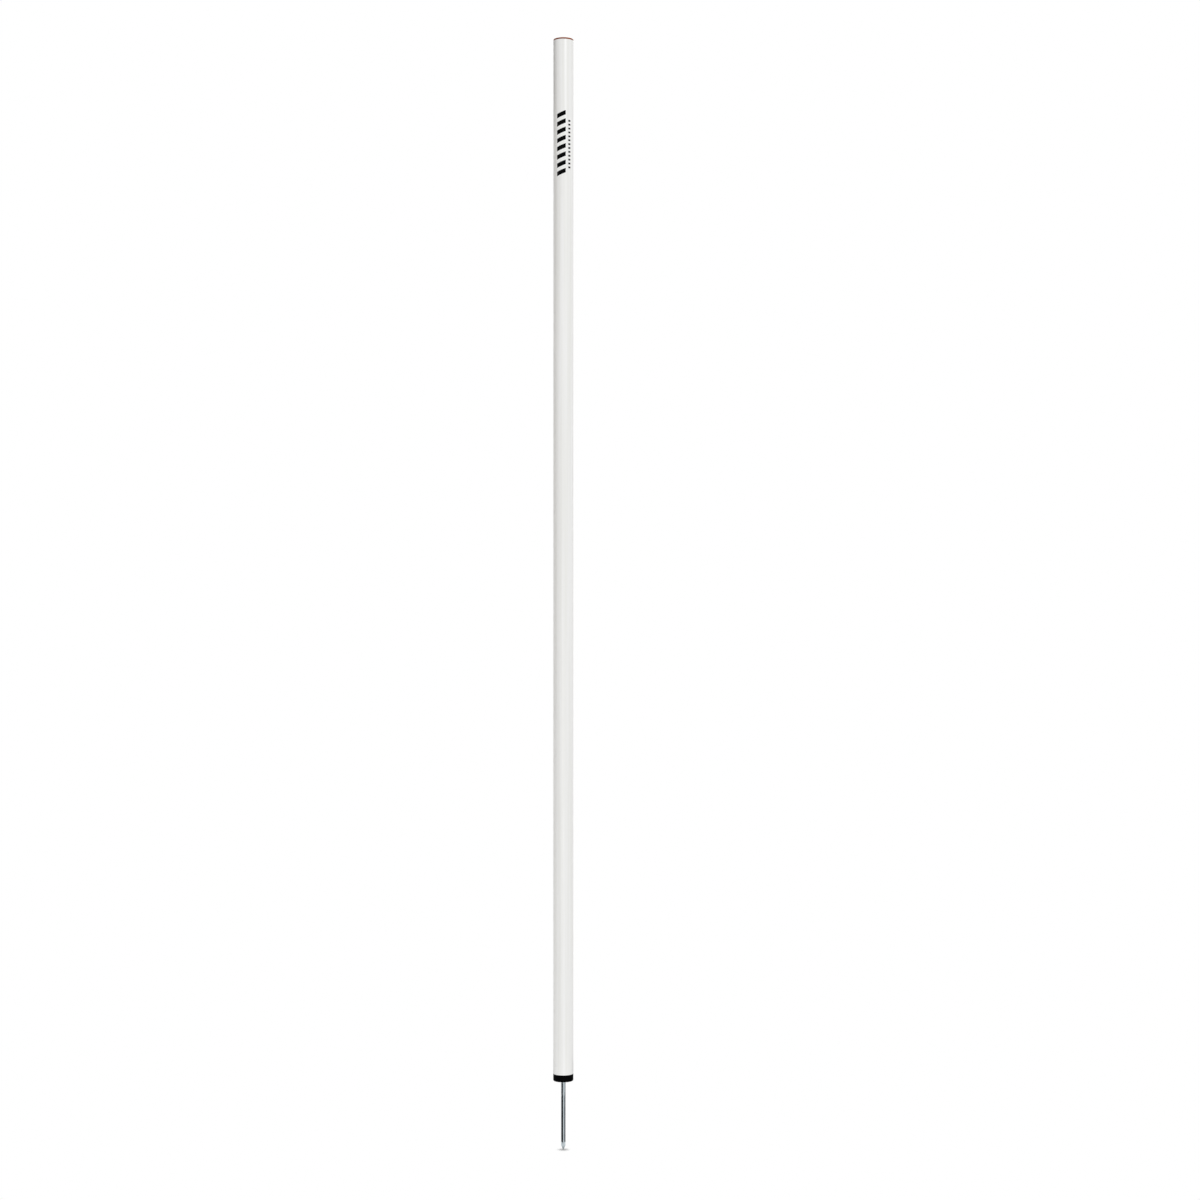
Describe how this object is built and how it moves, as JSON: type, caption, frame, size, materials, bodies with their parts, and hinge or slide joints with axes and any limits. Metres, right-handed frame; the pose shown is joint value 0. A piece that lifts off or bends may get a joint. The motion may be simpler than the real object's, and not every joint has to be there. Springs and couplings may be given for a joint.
{
  "type": "slalom pole",
  "caption": "White plastic slalom pole with a push-in plug at each end and a nail-pointed steel spike below a black collar, for planting upright in turf.",
  "frame": {"origin": "turf level on the pole's axis: the middle of the bottom plug's underside, with the spike below it", "axes": "+Z along the pole's axis towards its top; X and Y across it, in line with two of the bottom plug's fins"},
  "size_m": [0.0322, 0.0322, 1.7734],
  "materials": {
    "white_pipe_plastic": "satin extruded",
    "brown_plug_plastic": "fine moulded grain",
    "black_plug_plastic": "satin moulded",
    "zinced_wire": "bright zinc plated, scuffed",
    "lock_plug_plastic": "plain moulded"
  },
  "bodies": {
    "root": {"pole_tube": "white_pipe_plastic", "top_plug": "brown_plug_plastic", "base_plug": "black_plug_plastic", "ground_spike": "zinced_wire", "spike_lock_plug": "lock_plug_plastic"}
  },
  "joints": []
}
